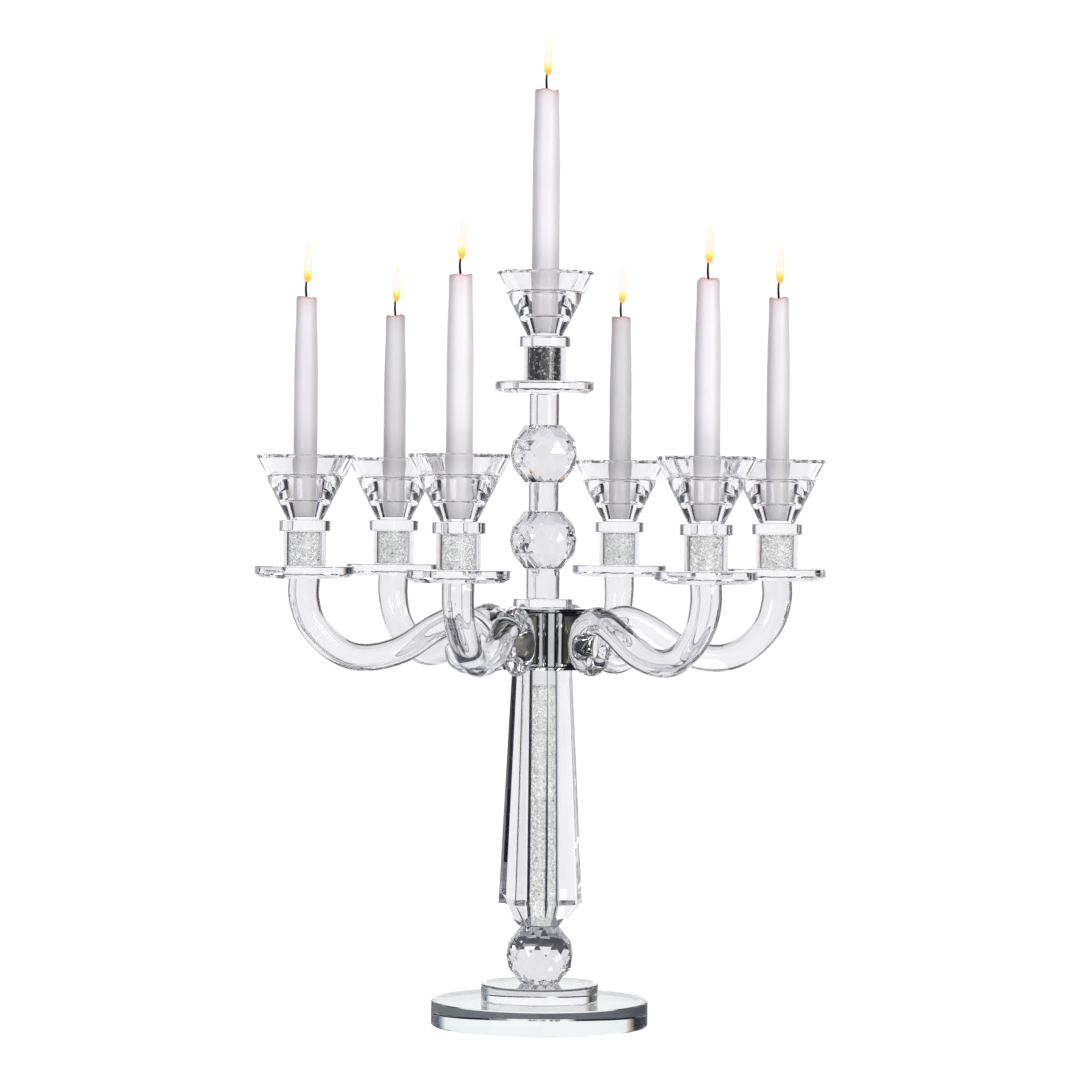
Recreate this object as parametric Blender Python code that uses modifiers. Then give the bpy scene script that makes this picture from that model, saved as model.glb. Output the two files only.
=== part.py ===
"""Seven-light crystal candelabra: six S-shaped glass arms in a ring round a central stack.

Lengths are metres, +Z is up, and the origin is the middle of the underside of the base.
Arm 1 points along +X, and the others follow every 60 degrees, anticlockwise from above.
"""
import math

import bmesh
import bpy
from mathutils import Matrix, Vector

GAP = 0.0003            # clearance between two pieces that rest on each other
SHARP_ANGLE = math.radians(28.0)
MERGE_DISTANCE = 0.00001

# Base and column, from the table up.
BASE_DISC_RADIUS = 0.0876
BASE_DISC_HEIGHT = 0.0200
BASE_STEP_RADIUS = 0.0473
BASE_STEP_HEIGHT = 0.0131
EDGE_CHAMFER = 0.0008
COLUMN_FOOT_RADIUS = 0.0173
COLUMN_WAIST_RADIUS = 0.0343
COLUMN_TOP_RADIUS = 0.0247
COLUMN_CHAMFER_HEIGHT = 0.0184
COLUMN_HEIGHT = 0.2073
BORE_RADIUS = 0.0100
BORE_FLOOR = 0.0025     # glass left under the bore
CHIPS_HEADROOM = 0.0133  # empty bore above the crushed crystal

# Faceted balls: five rings of points, each turned half a facet from the last.
BALL_HEIGHT = 0.0462
BALL_FACETS = 12
BALL_RING_RADII = (0.0156, 0.0252, 0.0275, 0.0252, 0.0156)
BALL_RING_HEIGHTS = (0.0, 0.0123, 0.0231, 0.0339, 0.0462)

# Hub: a fluted hexagon with a pad on each flat, between two thin plates.
HUB_APOTHEM = 0.0345
HUB_HEIGHT = 0.0492
HUB_PLATE_APOTHEM = 0.0353
HUB_PLATE_THICKNESS = 0.0024
FLUTE_DEPTH = 0.0012
FLUTE_INNER = 0.0098    # from the middle of a flat to the near side of its flute
FLUTE_OUTER = 0.0142
PAD_WIDTH = 0.0150
PAD_HEIGHT = 0.0388
PAD_FACE = 0.0362       # from the axis to the face that an arm is bonded to

# Upper stack.
COLLAR_RADIUS = 0.0240
COLLAR_HEIGHT = 0.0072
LOWER_STEM_RADIUS = 0.0135
STEM_RADIUS = 0.0120
LOWER_STEM_HEIGHT = 0.0241
MIDDLE_STEM_HEIGHT = 0.0228
UPPER_STEM_HEIGHT = 0.0251

# Candle holder, the same on the stack and on every arm.
PAN_RADIUS = 0.0400
PAN_FOOT_RADIUS = 0.0340
PAN_BAND_HEIGHT = 0.0062
PAN_BEVEL_HEIGHT = 0.0034
TUBE_RADIUS = 0.0170
TUBE_BORE_RADIUS = 0.0130
TUBE_HEIGHT = 0.0276
PLATE_RADIUS = 0.0205
PLATE_HEIGHT = 0.0084
CUP_HEIGHT = 0.0525
CUP_FOOT_RADIUS = 0.0142
CUP_RIM_RADIUS = 0.0393
CUP_RIM_BAND = 0.0030
CUP_LIP_RADIUS = 0.0346
DISH_FLOOR_RADIUS = 0.0262
DISH_FLOOR = 0.0370
WELL_RADIUS = 0.0146
WELL_FOOT_RADIUS = 0.0136
WELL_FLOOR = 0.0170
SOCKET_RADIUS = 0.0104
SOCKET_FOOT_RADIUS = 0.0078
SOCKET_FLOOR = 0.0040

# Candles. Each stands on a foot that is cut down to fit the socket.
CANDLE_FOOT_RADIUS = 0.0074
CANDLE_NECK_RADIUS = 0.0100
CANDLE_NECK_HEIGHT = WELL_FLOOR - SOCKET_FLOOR
CANDLE_BODY_START = CANDLE_NECK_HEIGHT + 0.0030
CANDLE_TOP_TAPER = 0.0014   # how much thinner a candle is at the top than in the middle
CANDLE_TAPER_HEIGHT = 0.0600
CANDLE_SHOULDER = 0.0012
CANDLE_POOL_DEPTH = 0.0014
CANDLE_POOL_RADIUS = 0.0040
WICK_RADIUS = 0.0008
WICK_HEIGHT = 0.0140
CENTRE_CANDLE = (0.1962, 0.0111)    # length and radius

# Arms. Their candles are thinner than the one in the middle, and have burnt down unevenly.
ARM_COUNT = 6
ARM_CANDLES = (
    (0.1815, 0.0094),
    (0.1715, 0.0094),
    (0.1695, 0.0093),
    (0.1755, 0.0095),
    (0.1865, 0.0103),
    (0.1870, 0.0102),
)
ARM_REACH = 0.1945      # from the axis to the middle of a cup
ARM_TOP = 0.3600
ARM_ROD_RADIUS = 0.0112
ARM_STEPS = 2
# The rod's centre line from the drip pan to the scroll's tip: distance from the axis, height,
# and thickness as a share of ARM_ROD_RADIUS.
ARM_POINTS = (
    (ARM_REACH, ARM_TOP, 1.13),
    (ARM_REACH, 0.3430, 1.10),
    (0.1870, 0.3220, 1.04),
    (0.1670, 0.3030, 1.00),
    (0.1440, 0.2968, 1.00),
    (0.1150, 0.3035, 1.00),
    (0.0870, 0.3213, 1.00),
    (0.0670, 0.3285, 0.98),
    (0.0515, 0.3205, 0.95),
    (0.0470, 0.3060, 0.92),
    (0.0515, 0.2955, 0.80),
    (0.0615, 0.2912, 0.66),
    (0.0715, 0.2950, 0.54),
    (0.0750, 0.3020, 0.44),
    (0.0745, 0.3065, 0.36),
    (0.0740, 0.3085, 0.14),
)


def clear_scene():
    """Remove whatever the scene holds."""
    for thing in list(bpy.data.objects):
        bpy.data.objects.remove(thing)


def new_collection(name):
    """Add a collection to the scene."""
    collection = bpy.data.collections.new(name)
    bpy.context.scene.collection.children.link(collection)
    return collection


def new_material(name, colour, roughness, metallic=0.0, transmission=0.0):
    """Make one Principled material."""
    material = bpy.data.materials.new(name)
    material.use_nodes = True
    shader = material.node_tree.nodes["Principled BSDF"]
    shader.inputs["Base Color"].default_value = (*colour, 1.0)
    shader.inputs["Roughness"].default_value = roughness
    shader.inputs["Metallic"].default_value = metallic
    shader.inputs["Transmission Weight"].default_value = transmission
    return material


def linked_object(name, mesh, collection):
    """Put a mesh into a collection as a named object."""
    thing = bpy.data.objects.new(name, mesh)
    collection.objects.link(thing)
    return thing


def baked_mesh(source):
    """Give the closed mesh that an object's modifiers make, and remove the object."""
    depsgraph = bpy.context.evaluated_depsgraph_get()
    mesh = bpy.data.meshes.new_from_object(source.evaluated_get(depsgraph))
    mesh.name = source.name
    shape = bmesh.new()
    shape.from_mesh(mesh)
    bmesh.ops.remove_doubles(shape, verts=shape.verts, dist=MERGE_DISTANCE)
    shape.to_mesh(mesh)
    shape.free()
    bpy.data.objects.remove(source)
    return mesh


def smoothed(mesh):
    """Shade a mesh smooth, except across its hard edges."""
    mesh.shade_smooth()
    mesh.set_sharp_from_angle(angle=SHARP_ANGLE)
    return mesh


def turned_mesh(name, profile, steps, ring=False):
    """Turn an outline about the Z axis. It runs down its outer side, and a ring's is a loop."""
    points = [(radius, 0.0, height) for radius, height in profile]
    edges = [(index, index + 1) for index in range(len(points) - 1)]
    if ring:
        edges.append((len(points) - 1, 0))
    outline = bpy.data.meshes.new(name)
    outline.from_pydata(points, edges, [])
    lathe = linked_object(name, outline, bpy.context.scene.collection)
    screw = lathe.modifiers.new("Turn", "SCREW")
    screw.steps = steps
    screw.render_steps = steps
    screw.use_merge_vertices = True
    screw.merge_threshold = MERGE_DISTANCE
    return baked_mesh(lathe)


def cylinder_mesh(name, radius, height, steps=24):
    """A plain round rod that stands on its origin."""
    profile = ((0.0, height), (radius, height), (radius, 0.0), (0.0, 0.0))
    return smoothed(turned_mesh(name, profile, steps))


def disc_mesh(name, radius, height, steps):
    """A thick glass disc with a small chamfer round both edges."""
    profile = (
        (0.0, height),
        (radius - EDGE_CHAMFER, height),
        (radius, height - EDGE_CHAMFER),
        (radius, EDGE_CHAMFER),
        (radius - EDGE_CHAMFER, 0.0),
        (0.0, 0.0),
    )
    return smoothed(turned_mesh(name, profile, steps))


def faceted_ball_mesh(name):
    """A ball cut in triangular facets, with a flat top and a flat foot."""
    shape = bmesh.new()
    for ring, radius in enumerate(BALL_RING_RADII):
        for facet in range(BALL_FACETS):
            angle = 2.0 * math.pi * (facet + 0.5 * (ring % 2)) / BALL_FACETS
            place = (radius * math.cos(angle), radius * math.sin(angle), BALL_RING_HEIGHTS[ring])
            shape.verts.new(place)
    bmesh.ops.convex_hull(shape, input=shape.verts)
    mesh = bpy.data.meshes.new(name)
    shape.to_mesh(mesh)
    shape.free()
    return mesh


def column_object(name, collection, cutters):
    """The eight-sided tapered column, with a blind bore from the top for the crushed crystal."""
    profile = (
        (0.0, COLUMN_HEIGHT),
        (COLUMN_TOP_RADIUS, COLUMN_HEIGHT),
        (COLUMN_WAIST_RADIUS, COLUMN_CHAMFER_HEIGHT),
        (COLUMN_FOOT_RADIUS, 0.0),
        (0.0, 0.0),
    )
    column = linked_object(name, turned_mesh(name, profile, 8), collection)
    drill = linked_object(name + "_bore", bore_mesh(name + "_bore"), cutters)
    drill.parent = column
    drill.location.z = BORE_FLOOR
    hide_cutter(drill)
    cut = column.modifiers.new("Bore", "BOOLEAN")
    cut.operation = "DIFFERENCE"
    cut.solver = "EXACT"
    cut.object = drill
    return column


def bore_mesh(name):
    """The drill that makes the column's bore."""
    return cylinder_mesh(name, BORE_RADIUS, COLUMN_HEIGHT, steps=20)


def hide_cutter(cutter):
    """Keep a cutter out of the model and of every render."""
    cutter.hide_render = True
    cutter.display_type = "WIRE"


def hub_outline():
    """The corners of the hub's fluted hexagon, anticlockwise in the XY plane."""
    flute_face = HUB_APOTHEM - FLUTE_DEPTH
    half_flat = HUB_APOTHEM * math.tan(math.pi / ARM_COUNT)
    flat = (
        (HUB_APOTHEM, -FLUTE_OUTER),
        (flute_face, -FLUTE_OUTER),
        (flute_face, -FLUTE_INNER),
        (HUB_APOTHEM, -FLUTE_INNER),
        (HUB_APOTHEM, FLUTE_INNER),
        (flute_face, FLUTE_INNER),
        (flute_face, FLUTE_OUTER),
        (HUB_APOTHEM, FLUTE_OUTER),
        (HUB_APOTHEM, half_flat),
    )
    outline = []
    for side in range(ARM_COUNT):
        turn = Matrix.Rotation(2.0 * math.pi * side / ARM_COUNT, 3, "Z")
        outline.extend(turn @ Vector((depth, along, 0.0)) for depth, along in flat)
    return outline


def hub_body_mesh(name):
    """The fluted hexagon, extruded to the hub's whole height."""
    shape = bmesh.new()
    corners = [shape.verts.new(corner) for corner in hub_outline()]
    foot = shape.faces.new(corners)
    grown = bmesh.ops.extrude_face_region(shape, geom=[foot])
    lifted = [item for item in grown["geom"] if isinstance(item, bmesh.types.BMVert)]
    bmesh.ops.translate(shape, verts=lifted, vec=(0.0, 0.0, HUB_HEIGHT))
    bmesh.ops.recalc_face_normals(shape, faces=shape.faces)
    mesh = bpy.data.meshes.new(name)
    shape.to_mesh(mesh)
    shape.free()
    return mesh


def hub_fittings_mesh(name):
    """The six bonding pads and the two plates that are joined to the hub's body."""
    shape = bmesh.new()
    pad_depth = PAD_FACE - 0.5 * HUB_APOTHEM
    for pad in range(ARM_COUNT):
        turn = Matrix.Rotation(2.0 * math.pi * pad / ARM_COUNT, 4, "Z")
        shift = Matrix.Translation((PAD_FACE - 0.5 * pad_depth, 0.0, 0.5 * HUB_HEIGHT))
        stretch = Matrix.Diagonal((pad_depth, PAD_WIDTH, PAD_HEIGHT, 1.0))
        bmesh.ops.create_cube(shape, size=1.0, matrix=turn @ shift @ stretch)
    corner_radius = HUB_PLATE_APOTHEM / math.cos(math.pi / ARM_COUNT)
    half_turn = Matrix.Rotation(math.pi / ARM_COUNT, 4, "Z")
    for height in (0.5 * HUB_PLATE_THICKNESS, HUB_HEIGHT - 0.5 * HUB_PLATE_THICKNESS):
        bmesh.ops.create_cone(
            shape,
            cap_ends=True,
            segments=ARM_COUNT,
            radius1=corner_radius,
            radius2=corner_radius,
            depth=HUB_PLATE_THICKNESS,
            matrix=Matrix.Translation((0.0, 0.0, height)) @ half_turn,
        )
    mesh = bpy.data.meshes.new(name)
    shape.to_mesh(mesh)
    shape.free()
    return mesh


def hub_object(name, collection, cutters):
    """The chrome hub that carries the arms."""
    hub = linked_object(name, hub_body_mesh(name), collection)
    fittings = linked_object(name + "_fittings", hub_fittings_mesh(name + "_fittings"), cutters)
    fittings.parent = hub
    hide_cutter(fittings)
    join = hub.modifiers.new("Fittings", "BOOLEAN")
    join.operation = "UNION"
    join.solver = "EXACT"
    join.object = fittings
    return hub


def drip_pan_mesh():
    """The glass pan under a candle holder: an upright band over a faceted bevel."""
    height = PAN_BAND_HEIGHT + PAN_BEVEL_HEIGHT
    profile = (
        (0.0, height),
        (PAN_RADIUS, height),
        (PAN_RADIUS, PAN_BEVEL_HEIGHT),
        (PAN_FOOT_RADIUS, 0.0),
        (0.0, 0.0),
    )
    return turned_mesh("drip_pan", profile, 24)


def chip_tube_mesh():
    """The open glass tube that holds crushed crystal."""
    profile = (
        (TUBE_RADIUS, TUBE_HEIGHT),
        (TUBE_RADIUS, 0.0),
        (TUBE_BORE_RADIUS, 0.0),
        (TUBE_BORE_RADIUS, TUBE_HEIGHT),
    )
    return smoothed(turned_mesh("chip_tube", profile, 20, ring=True))


def cup_mesh():
    """The conical glass cup: a wide dish, a well, and a tapered socket for the candle."""
    profile = (
        (0.0, SOCKET_FLOOR),
        (SOCKET_FOOT_RADIUS, SOCKET_FLOOR),
        (SOCKET_RADIUS, WELL_FLOOR),
        (WELL_FOOT_RADIUS, WELL_FLOOR),
        (WELL_RADIUS, DISH_FLOOR),
        (DISH_FLOOR_RADIUS, DISH_FLOOR),
        (CUP_LIP_RADIUS, CUP_HEIGHT),
        (CUP_RIM_RADIUS - CUP_RIM_BAND / 3.0, CUP_HEIGHT),
        (CUP_RIM_RADIUS, CUP_HEIGHT - CUP_RIM_BAND / 2.0),
        (CUP_RIM_RADIUS - CUP_RIM_BAND / 3.0, CUP_HEIGHT - CUP_RIM_BAND),
        (CUP_FOOT_RADIUS, 0.0),
        (0.0, 0.0),
    )
    return smoothed(turned_mesh("cup", profile, 24))


def candle_mesh(name, length, radius):
    """A taper candle with its wick, standing on its origin in the cup's socket."""
    pool = length - CANDLE_POOL_DEPTH
    top_radius = radius - CANDLE_TOP_TAPER
    neck_radius = min(CANDLE_NECK_RADIUS, radius)
    profile = (
        (0.0, length + WICK_HEIGHT),
        (WICK_RADIUS, length + WICK_HEIGHT),
        (WICK_RADIUS, pool),
        (CANDLE_POOL_RADIUS, pool),
        (top_radius - CANDLE_SHOULDER, length),
        (top_radius, length - CANDLE_SHOULDER),
        (radius, length - CANDLE_TAPER_HEIGHT),
        (radius, CANDLE_BODY_START),
        (neck_radius, CANDLE_NECK_HEIGHT),
        (CANDLE_FOOT_RADIUS, 0.0),
        (0.0, 0.0),
    )
    return smoothed(turned_mesh(name, profile, 12))


def arm_mesh():
    """The glass rod: down from the pan, in to the hub, over a hump and into a scroll."""
    curve = bpy.data.curves.new("arm", "CURVE")
    curve.dimensions = "3D"
    curve.twist_mode = "MINIMUM"
    curve.resolution_u = ARM_STEPS
    curve.bevel_depth = ARM_ROD_RADIUS
    curve.bevel_resolution = 2
    curve.use_fill_caps = True
    spline = curve.splines.new("BEZIER")
    spline.bezier_points.add(len(ARM_POINTS) - 1)
    for knot, (reach, height, thickness) in zip(spline.bezier_points, ARM_POINTS):
        knot.co = (reach, 0.0, height)
        knot.radius = thickness
        knot.handle_left_type = "AUTO"
        knot.handle_right_type = "AUTO"
    rod = linked_object("arm", curve, bpy.context.scene.collection)
    return smoothed(baked_mesh(rod))


def add_piece(name, mesh, material, collection, parent=None, offset=(0.0, 0.0, 0.0)):
    """Add one piece of the model, which may share its mesh with its twins."""
    piece = linked_object(name, mesh, collection)
    finish_piece(piece, material, parent, offset)
    return piece


def finish_piece(piece, material, parent, offset):
    """Give a piece its material, its parent and its place."""
    if not piece.data.materials:
        piece.data.materials.append(material)
    piece.parent = parent
    piece.location = offset


def add_holder(suffix, parent, reach, foot, meshes, materials, collection):
    """Stack one candle holder on a foot height, and give the height of its candle's seat."""
    level = foot + GAP
    pan_height = PAN_BAND_HEIGHT + PAN_BEVEL_HEIGHT
    lower_stack = (
        ("drip_pan", pan_height),
        ("chip_tube", TUBE_HEIGHT),
        ("cup_plate", PLATE_HEIGHT),
    )
    for kind, height in lower_stack:
        place = (reach, 0.0, level)
        add_piece(f"{kind}_{suffix}", meshes[kind], materials["crystal"], collection, parent, place)
        if kind == "chip_tube":
            fill = (reach, 0.0, level + GAP)
            add_piece(f"chips_{suffix}", meshes["chips"], materials["chips"], collection, parent, fill)
        level += height + GAP
    place = (reach, 0.0, level)
    add_piece(f"cup_{suffix}", meshes["cup"], materials["crystal"], collection, parent, place)
    return level + SOCKET_FLOOR + GAP


def add_stack(meshes, materials, collection, cutters):
    """Build the central stack from the table up, and give the height of its top."""
    crystal = materials["crystal"]
    level = 0.0
    for name, height in (("base_disc", BASE_DISC_HEIGHT), ("base_step", BASE_STEP_HEIGHT)):
        add_piece(name, meshes[name], crystal, collection, offset=(0.0, 0.0, level))
        level += height + GAP
    add_piece("base_ball", meshes["ball"], crystal, collection, offset=(0.0, 0.0, level))
    level += BALL_HEIGHT + GAP

    column = column_object("column", collection, cutters)
    finish_piece(column, crystal, None, (0.0, 0.0, level))
    fill = (0.0, 0.0, level + BORE_FLOOR + GAP)
    add_piece("column_chips", meshes["column_chips"], materials["chips"], collection, offset=fill)
    level += COLUMN_HEIGHT + GAP

    hub = hub_object("hub", collection, cutters)
    finish_piece(hub, materials["chrome"], None, (0.0, 0.0, level))
    level += HUB_HEIGHT + GAP

    upper_stack = (
        ("collar_plate", "collar_plate", COLLAR_HEIGHT),
        ("stem_lower", "stem_lower", LOWER_STEM_HEIGHT),
        ("ball_lower", "ball", BALL_HEIGHT),
        ("stem_middle", "stem_middle", MIDDLE_STEM_HEIGHT),
        ("ball_upper", "ball", BALL_HEIGHT),
        ("stem_upper", "stem_upper", UPPER_STEM_HEIGHT),
    )
    for name, mesh_name, height in upper_stack:
        add_piece(name, meshes[mesh_name], crystal, collection, offset=(0.0, 0.0, level))
        level += height + GAP
    return level - GAP


def shared_meshes():
    """The meshes of the pieces, by kind."""
    bore_depth = COLUMN_HEIGHT - BORE_FLOOR
    return {
        "base_disc": disc_mesh("base_disc", BASE_DISC_RADIUS, BASE_DISC_HEIGHT, 40),
        "base_step": disc_mesh("base_step", BASE_STEP_RADIUS, BASE_STEP_HEIGHT, 32),
        "ball": faceted_ball_mesh("ball"),
        "column_chips": cylinder_mesh(
            "column_chips", BORE_RADIUS - GAP, bore_depth - CHIPS_HEADROOM, steps=16
        ),
        "collar_plate": disc_mesh("collar_plate", COLLAR_RADIUS, COLLAR_HEIGHT, 24),
        "stem_lower": cylinder_mesh("stem_lower", LOWER_STEM_RADIUS, LOWER_STEM_HEIGHT),
        "stem_middle": cylinder_mesh("stem_middle", STEM_RADIUS, MIDDLE_STEM_HEIGHT),
        "stem_upper": cylinder_mesh("stem_upper", STEM_RADIUS, UPPER_STEM_HEIGHT),
        "drip_pan": drip_pan_mesh(),
        "chip_tube": chip_tube_mesh(),
        "chips": cylinder_mesh(
            "chips", TUBE_BORE_RADIUS - GAP, TUBE_HEIGHT - 2.0 * GAP, steps=16
        ),
        "cup_plate": cylinder_mesh("cup_plate", PLATE_RADIUS, PLATE_HEIGHT),
        "cup": cup_mesh(),
        "arm": arm_mesh(),
    }


def main():
    """Build the candelabra."""
    clear_scene()
    collection = new_collection("menorah")
    cutters = new_collection("cutters")
    materials = {
        "crystal": new_material("crystal", (0.94, 0.95, 0.96), 0.02, transmission=1.0),
        "chips": new_material("crushed_crystal", (0.82, 0.84, 0.80), 0.25),
        "chrome": new_material("chrome", (0.62, 0.63, 0.64), 0.06, metallic=1.0),
        "wax": new_material("wax", (0.93, 0.90, 0.92), 0.45),
    }
    meshes = shared_meshes()

    stack_top = add_stack(meshes, materials, collection, cutters)
    seat = add_holder("centre", None, 0.0, stack_top, meshes, materials, collection)
    centre_candle = candle_mesh("candle_centre", *CENTRE_CANDLE)
    add_piece("candle_centre", centre_candle, materials["wax"], collection, offset=(0.0, 0.0, seat))

    for index, (candle_length, candle_radius) in enumerate(ARM_CANDLES):
        number = str(index + 1)
        pivot = linked_object("arm_direction_" + number, None, collection)
        pivot.rotation_euler.z = 2.0 * math.pi * index / ARM_COUNT
        add_piece("arm_" + number, meshes["arm"], materials["crystal"], collection, pivot)
        seat = add_holder(number, pivot, ARM_REACH, ARM_TOP, meshes, materials, collection)
        mesh = candle_mesh("candle_" + number, candle_length, candle_radius)
        place = (ARM_REACH, 0.0, seat)
        add_piece("candle_" + number, mesh, materials["wax"], collection, pivot, place)


main()
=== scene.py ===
"""The looks of the crystal candelabra: glass, chrome, crushed crystal, wax, flames, studio and camera."""

import math
import random

import bpy
from mathutils import Matrix, Vector


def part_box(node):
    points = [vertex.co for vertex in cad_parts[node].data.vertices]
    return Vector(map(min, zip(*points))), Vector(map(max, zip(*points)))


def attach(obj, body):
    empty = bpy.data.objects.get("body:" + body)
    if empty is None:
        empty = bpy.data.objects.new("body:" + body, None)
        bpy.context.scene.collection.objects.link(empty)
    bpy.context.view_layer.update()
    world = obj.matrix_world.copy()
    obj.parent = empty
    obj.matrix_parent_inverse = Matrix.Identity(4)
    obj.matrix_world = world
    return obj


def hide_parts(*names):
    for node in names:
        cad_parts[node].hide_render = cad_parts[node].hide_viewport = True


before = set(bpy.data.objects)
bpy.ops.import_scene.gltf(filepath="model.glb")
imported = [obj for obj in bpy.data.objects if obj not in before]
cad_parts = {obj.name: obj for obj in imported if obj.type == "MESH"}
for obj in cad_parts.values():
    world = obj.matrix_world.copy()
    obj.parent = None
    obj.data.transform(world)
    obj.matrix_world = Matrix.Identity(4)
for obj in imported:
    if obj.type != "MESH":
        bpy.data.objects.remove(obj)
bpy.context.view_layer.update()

MM = 0.001
HEX = math.pi / 3.0
SUFFIXES = ("centre", "1", "2", "3", "4", "5", "6")

# Camera: level, looking across the table at the middle of the stand.
CAMERA_AZIMUTH = 349.5
CAMERA_DISTANCE = 3.45
CAMERA_HEIGHT = 0.419
CAMERA_LENS = 142.0
CAMERA_SENSOR = 36.0
CAMERA_SHIFT_X = -0.0033
CAMERA_SHIFT_Y = -0.0306
CAMERA_ROLL = 0.0085

# Studio lamps: square soft boxes aimed at the middle of the stand.
LIGHT_SIZE = 1.6
LIGHT_TARGET = Vector((0.0, 0.0, 0.4))

# Steps round a turned piece, round an arm's rod, and along each of its bends.
ROUND_STEPS = 96
ARM_SIDES = 40
ARM_STEPS_PER_BEND = 14

ARM_ROD_RADIUS = 11.2 * MM

# Bend points of an arm: distance from the axis, height, and thickness as a share of the rod's.
ARM_POINTS = (
    (0.1945, 0.3600, 1.13),
    (0.1945, 0.3430, 1.10),
    (0.1870, 0.3220, 1.04),
    (0.1670, 0.3030, 1.00),
    (0.1440, 0.2968, 1.00),
    (0.1150, 0.3035, 1.00),
    (0.0870, 0.3213, 1.00),
    (0.0670, 0.3285, 0.98),
    (0.0515, 0.3205, 0.95),
    (0.0470, 0.3060, 0.92),
    (0.0515, 0.2955, 0.80),
    (0.0615, 0.2912, 0.66),
    (0.0715, 0.2950, 0.54),
    (0.0750, 0.3020, 0.44),
    (0.0745, 0.3065, 0.36),
    (0.0740, 0.3085, 0.14),
)


# ---------------------------------------------------------------- node graph helpers

# The colour sockets of a Mix node, which share their names with those of its other types.
MIX_FIRST = 6
MIX_SECOND = 7
MIX_RESULT = 2

BLACK = (0.0, 0.0, 0.0)
WHITE = (1.0, 1.0, 1.0)


def new_material(name):
    """A material with a bare Principled shader; returns the material, its node tree and the shader."""
    material = bpy.data.materials.new(name)
    material.use_nodes = True
    tree = material.node_tree
    return material, tree, tree.nodes["Principled BSDF"]


def set_inputs(node, **values):
    """Sets the node's inputs by name, with underscores for spaces."""
    for key, value in values.items():
        node.inputs[key.replace("_", " ")].default_value = value


def add_node(tree, kind, **settings):
    """A node of that kind, with its properties or its inputs set by name."""
    node = tree.nodes.new(kind)
    for key, value in settings.items():
        label = key.replace("_", " ")
        if label in node.inputs:
            node.inputs[label].default_value = value
        else:
            setattr(node, key, value)
    return node


def attribute(tree, name):
    """The number that the mesh stores under that name."""
    return add_node(tree, "ShaderNodeAttribute", attribute_name=name).outputs["Fac"]


def noise(tree, scale, detail):
    """Noise over the object's own coordinates."""
    place = add_node(tree, "ShaderNodeTexCoord")
    texture = add_node(tree, "ShaderNodeTexNoise", Scale=scale, Detail=detail)
    tree.links.new(place.outputs["Object"], texture.inputs["Vector"])
    return texture.outputs["Fac"]


def ramp(tree, source, stops):
    """The colour that a ramp with (position, colour) stops gives the source."""
    node = add_node(tree, "ShaderNodeValToRGB")
    elements = node.color_ramp.elements
    while len(elements) < len(stops):
        elements.new(0.5)
    for element, (position, colour) in zip(elements, stops):
        element.position = position
        element.color = (*colour, 1.0)
    tree.links.new(source, node.inputs["Fac"])
    return node.outputs["Color"]


def drift(tree, source, low, high):
    """A soft change from the low colour to the high one as the noise rises."""
    return ramp(tree, source, ((0.3, low), (0.7, high)))


def mix_colours(tree, factor, first, second):
    """A blend from the first colour to the second, each of which is a socket or a plain colour."""
    node = add_node(tree, "ShaderNodeMix", data_type="RGBA")
    tree.links.new(factor, node.inputs["Factor"])
    for index, colour in ((MIX_FIRST, first), (MIX_SECOND, second)):
        if isinstance(colour, tuple):
            node.inputs[index].default_value = (*colour, 1.0)
        else:
            tree.links.new(colour, node.inputs[index])
    return node.outputs[MIX_RESULT]


def bump(tree, shader, source, strength, distance):
    """Bumps the shader's normal by the source."""
    node = add_node(tree, "ShaderNodeBump", Strength=strength, Distance=distance)
    tree.links.new(source, node.inputs["Height"])
    tree.links.new(node.outputs["Normal"], shader.inputs["Normal"])


def swap_for_rays(tree, kind, usual, special):
    """Gives the material its usual shader, and the special one for that kind of ray."""
    seen = add_node(tree, "ShaderNodeLightPath")
    mix = add_node(tree, "ShaderNodeMixShader")
    tree.links.new(seen.outputs[kind], mix.inputs["Fac"])
    tree.links.new(usual, mix.inputs[1])
    tree.links.new(special, mix.inputs[2])
    tree.links.new(mix.outputs["Shader"], tree.nodes["Material Output"].inputs["Surface"])


# ---------------------------------------------------------------- materials

# What the camera sees of the backdrop and of the tabletop: plain white.
BACKDROP_STRENGTH = 1.05


def glass_material(name, light, dark, ior, wave_scale, wave_strength):
    """Clear glass whose tint drifts between two near-white colours, with faint waves in its surface.
    It casts no shadow."""
    material, tree, shader = new_material(name)
    set_inputs(shader, Transmission_Weight=1.0, IOR=ior, Roughness=0.0)
    tint = ramp(tree, noise(tree, 18.0, 1.0), ((0.35, dark), (0.65, light)))
    tree.links.new(tint, shader.inputs["Base Color"])
    bump(tree, shader, noise(tree, wave_scale, 1.0), wave_strength, 1.0 * MM)
    clear = add_node(tree, "ShaderNodeBsdfTransparent")
    swap_for_rays(tree, "Is Shadow Ray", shader.outputs["BSDF"], clear.outputs["BSDF"])
    return material


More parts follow.
